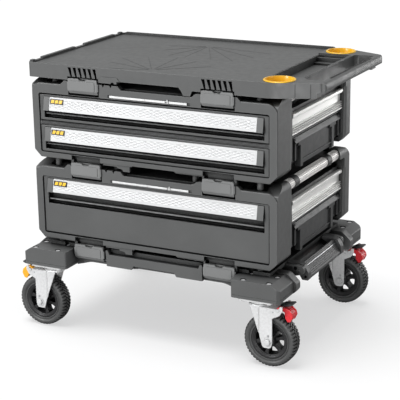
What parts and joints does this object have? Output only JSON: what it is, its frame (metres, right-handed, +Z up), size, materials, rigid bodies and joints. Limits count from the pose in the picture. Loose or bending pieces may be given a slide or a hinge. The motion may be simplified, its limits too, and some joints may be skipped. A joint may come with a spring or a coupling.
{
  "type": "rolling tool box",
  "caption": "Wheeled stack of latched drawer boxes with a worktop, cup holders, push handle and braked swivel casters.",
  "frame": {"origin": "on the floor, at the middle of the bounding box's bottom face", "axes": "+Z up, front (drawer side) towards -Y, push handle towards +X"},
  "size_m": [0.9372, 0.624, 0.787],
  "materials": {
    "grey_plastic": "moulded, fine grain",
    "dark_plastic": "moulded, fine grain",
    "latch_plastic": "moulded, satin",
    "grip_rubber": "soft ribs",
    "cup_plastic": "semi gloss",
    "aluminium": "extruded, brushed",
    "pull_aluminium": "anodised, embossed",
    "steel": "bright",
    "drawer_steel": "powder coat",
    "zinc": "bright zinc plate",
    "rim_plastic": "glass-filled nylon",
    "tyre": "moulded rubber tread",
    "brake_red": "semi gloss",
    "brake_orange": "semi gloss"
  },
  "bodies": {
    "cabinet": {"worktop": "grey_plastic", "worktop_grip": "grip_rubber", "cup_holders": "cup_plastic", "upper_housing": "dark_plastic", "upper_front_bezel": "grey_plastic", "lower_housing": "dark_plastic", "lower_front_bezel": "grey_plastic", "rear_covers": "grey_plastic", "side_rails": "aluminium", "side_handles": "aluminium", "handle_collars": "dark_plastic", "slide_outer_members": "steel", "stacking_feet": "latch_plastic", "hinge_pins": "steel", "dolly_base": "grey_plastic", "caster_plates": "zinc", "caster_bolts": "steel"},
    "drawer_1": {"drawer_1_bin": "drawer_steel", "drawer_1_front": "grey_plastic", "drawer_1_pull": "pull_aluminium", "drawer_1_end_caps": "latch_plastic", "drawer_1_slide_inner": "steel"},
    "drawer_1_slide_carriage": {"drawer_1_slide_middle": "steel"},
    "drawer_2": {"drawer_2_bin": "drawer_steel", "drawer_2_front": "grey_plastic", "drawer_2_pull": "pull_aluminium", "drawer_2_end_caps": "latch_plastic", "drawer_2_slide_inner": "steel"},
    "drawer_2_slide_carriage": {"drawer_2_slide_middle": "steel"},
    "drawer_3": {"drawer_3_bin": "drawer_steel", "drawer_3_front": "grey_plastic", "drawer_3_pull": "pull_aluminium", "drawer_3_end_caps": "latch_plastic", "drawer_3_slide_inner": "steel"},
    "drawer_3_slide_carriage": {"drawer_3_slide_middle": "steel"},
    "worktop_latch_left": {"worktop_latch_left": "latch_plastic"},
    "worktop_latch_right": {"worktop_latch_right": "latch_plastic"},
    "upper_latch_left": {"upper_latch_left": "latch_plastic"},
    "upper_latch_right": {"upper_latch_right": "latch_plastic"},
    "dolly_latch_left": {"dolly_latch_left": "latch_plastic"},
    "dolly_latch_right": {"dolly_latch_right": "latch_plastic"},
    "upper_lock_bar": {"upper_lock_bar": "zinc"},
    "lower_lock_bar": {"lower_lock_bar": "zinc"},
    "foot_pedal": {"foot_pedal": "dark_plastic"},
    "front_left_caster": {"front_left_fork": "zinc"},
    "front_left_wheel": {"front_left_rim": "rim_plastic", "front_left_tyre": "tyre"},
    "front_left_brake": {"front_left_brake_pedal": "brake_orange"},
    "front_right_caster": {"front_right_fork": "zinc"},
    "front_right_wheel": {"front_right_rim": "rim_plastic", "front_right_tyre": "tyre"},
    "front_right_brake": {"front_right_brake_pedal": "brake_red"},
    "rear_left_caster": {"rear_left_fork": "zinc"},
    "rear_left_wheel": {"rear_left_rim": "rim_plastic", "rear_left_tyre": "tyre"},
    "rear_left_brake": {"rear_left_brake_pedal": "brake_orange"},
    "rear_right_caster": {"rear_right_fork": "zinc"},
    "rear_right_wheel": {"rear_right_rim": "rim_plastic", "rear_right_tyre": "tyre"},
    "rear_right_brake": {"rear_right_brake_pedal": "brake_red"}
  },
  "joints": [
    {"name": "drawer_1_pull_out", "type": "slide", "parent": "cabinet", "child": "drawer_1", "axis": [0, -1, 0], "range_m": [0, 0.4]},
    {"name": "drawer_1_slide_follow", "type": "slide", "parent": "cabinet", "child": "drawer_1_slide_carriage", "axis": [0, -1, 0], "range_m": [0, 0.2]},
    {"name": "drawer_2_pull_out", "type": "slide", "parent": "cabinet", "child": "drawer_2", "axis": [0, -1, 0], "range_m": [0, 0.4]},
    {"name": "drawer_2_slide_follow", "type": "slide", "parent": "cabinet", "child": "drawer_2_slide_carriage", "axis": [0, -1, 0], "range_m": [0, 0.2]},
    {"name": "drawer_3_pull_out", "type": "slide", "parent": "cabinet", "child": "drawer_3", "axis": [0, -1, 0], "range_m": [0, 0.4]},
    {"name": "drawer_3_slide_follow", "type": "slide", "parent": "cabinet", "child": "drawer_3_slide_carriage", "axis": [0, -1, 0], "range_m": [0, 0.2]},
    {"name": "worktop_latch_left_flip", "type": "hinge", "parent": "cabinet", "child": "worktop_latch_left", "pos_m": [-0.2344, -0.258, 0.708], "axis": [1, 0, 0], "range_deg": [0, 65]},
    {"name": "worktop_latch_right_flip", "type": "hinge", "parent": "cabinet", "child": "worktop_latch_right", "pos_m": [0.1816, -0.258, 0.708], "axis": [1, 0, 0], "range_deg": [0, 65]},
    {"name": "upper_latch_left_flip", "type": "hinge", "parent": "cabinet", "child": "upper_latch_left", "pos_m": [-0.2344, -0.258, 0.465], "axis": [1, 0, 0], "range_deg": [0, 65]},
    {"name": "upper_latch_right_flip", "type": "hinge", "parent": "cabinet", "child": "upper_latch_right", "pos_m": [0.1816, -0.258, 0.465], "axis": [1, 0, 0], "range_deg": [0, 65]},
    {"name": "dolly_latch_left_flip", "type": "hinge", "parent": "cabinet", "child": "dolly_latch_left", "pos_m": [-0.2344, -0.258, 0.222], "axis": [1, 0, 0], "range_deg": [0, 65]},
    {"name": "dolly_latch_right_flip", "type": "hinge", "parent": "cabinet", "child": "dolly_latch_right", "pos_m": [0.1816, -0.258, 0.222], "axis": [1, 0, 0], "range_deg": [0, 65]},
    {"name": "upper_lock_bar_slide", "type": "slide", "parent": "cabinet", "child": "upper_lock_bar", "axis": [1, 0, 0], "range_m": [-0.005, 0.009]},
    {"name": "lower_lock_bar_slide", "type": "slide", "parent": "cabinet", "child": "lower_lock_bar", "axis": [1, 0, 0], "range_m": [-0.005, 0.009]},
    {"name": "foot_pedal_press", "type": "hinge", "parent": "cabinet", "child": "foot_pedal", "pos_m": [0.3686, 0, 0.236], "axis": [0, 1, 0], "range_deg": [0, 10]},
    {"name": "front_left_swivel", "type": "hinge", "parent": "cabinet", "child": "front_left_caster", "pos_m": [-0.3564, -0.266, 0.178], "axis": [0, 0, 1], "continuous": true},
    {"name": "front_left_wheel_spin", "type": "hinge", "parent": "front_left_caster", "child": "front_left_wheel", "pos_m": [-0.3924, -0.266, 0.0762], "axis": [0, 1, 0], "continuous": true},
    {"name": "front_left_brake_press", "type": "hinge", "parent": "front_left_caster", "child": "front_left_brake", "pos_m": [-0.4224, -0.266, 0.172], "axis": [0, -1, 0], "range_deg": [0, 7]},
    {"name": "front_right_swivel", "type": "hinge", "parent": "cabinet", "child": "front_right_caster", "pos_m": [0.3036, -0.266, 0.178], "axis": [0, 0, 1], "continuous": true},
    {"name": "front_right_wheel_spin", "type": "hinge", "parent": "front_right_caster", "child": "front_right_wheel", "pos_m": [0.3396, -0.266, 0.0762], "axis": [0, 1, 0], "continuous": true},
    {"name": "front_right_brake_press", "type": "hinge", "parent": "front_right_caster", "child": "front_right_brake", "pos_m": [0.3696, -0.266, 0.172], "axis": [0, 1, 0], "range_deg": [0, 7]},
    {"name": "rear_left_swivel", "type": "hinge", "parent": "cabinet", "child": "rear_left_caster", "pos_m": [-0.3564, 0.266, 0.178], "axis": [0, 0, 1], "continuous": true},
    {"name": "rear_left_wheel_spin", "type": "hinge", "parent": "rear_left_caster", "child": "rear_left_wheel", "pos_m": [-0.3924, 0.266, 0.0762], "axis": [0, 1, 0], "continuous": true},
    {"name": "rear_left_brake_press", "type": "hinge", "parent": "rear_left_caster", "child": "rear_left_brake", "pos_m": [-0.4224, 0.266, 0.172], "axis": [0, -1, 0], "range_deg": [0, 7]},
    {"name": "rear_right_swivel", "type": "hinge", "parent": "cabinet", "child": "rear_right_caster", "pos_m": [0.3036, 0.266, 0.178], "axis": [0, 0, 1], "continuous": true},
    {"name": "rear_right_wheel_spin", "type": "hinge", "parent": "rear_right_caster", "child": "rear_right_wheel", "pos_m": [0.3396, 0.266, 0.0762], "axis": [0, 1, 0], "continuous": true},
    {"name": "rear_right_brake_press", "type": "hinge", "parent": "rear_right_caster", "child": "rear_right_brake", "pos_m": [0.3696, 0.266, 0.172], "axis": [0, 1, 0], "range_deg": [0, 7]}
  ],
  "couplings": [
    {"joint": "drawer_1_slide_follow", "follows": "drawer_1_pull_out", "ratio": 0.5},
    {"joint": "drawer_2_slide_follow", "follows": "drawer_2_pull_out", "ratio": 0.5},
    {"joint": "drawer_3_slide_follow", "follows": "drawer_3_pull_out", "ratio": 0.5}
  ]
}
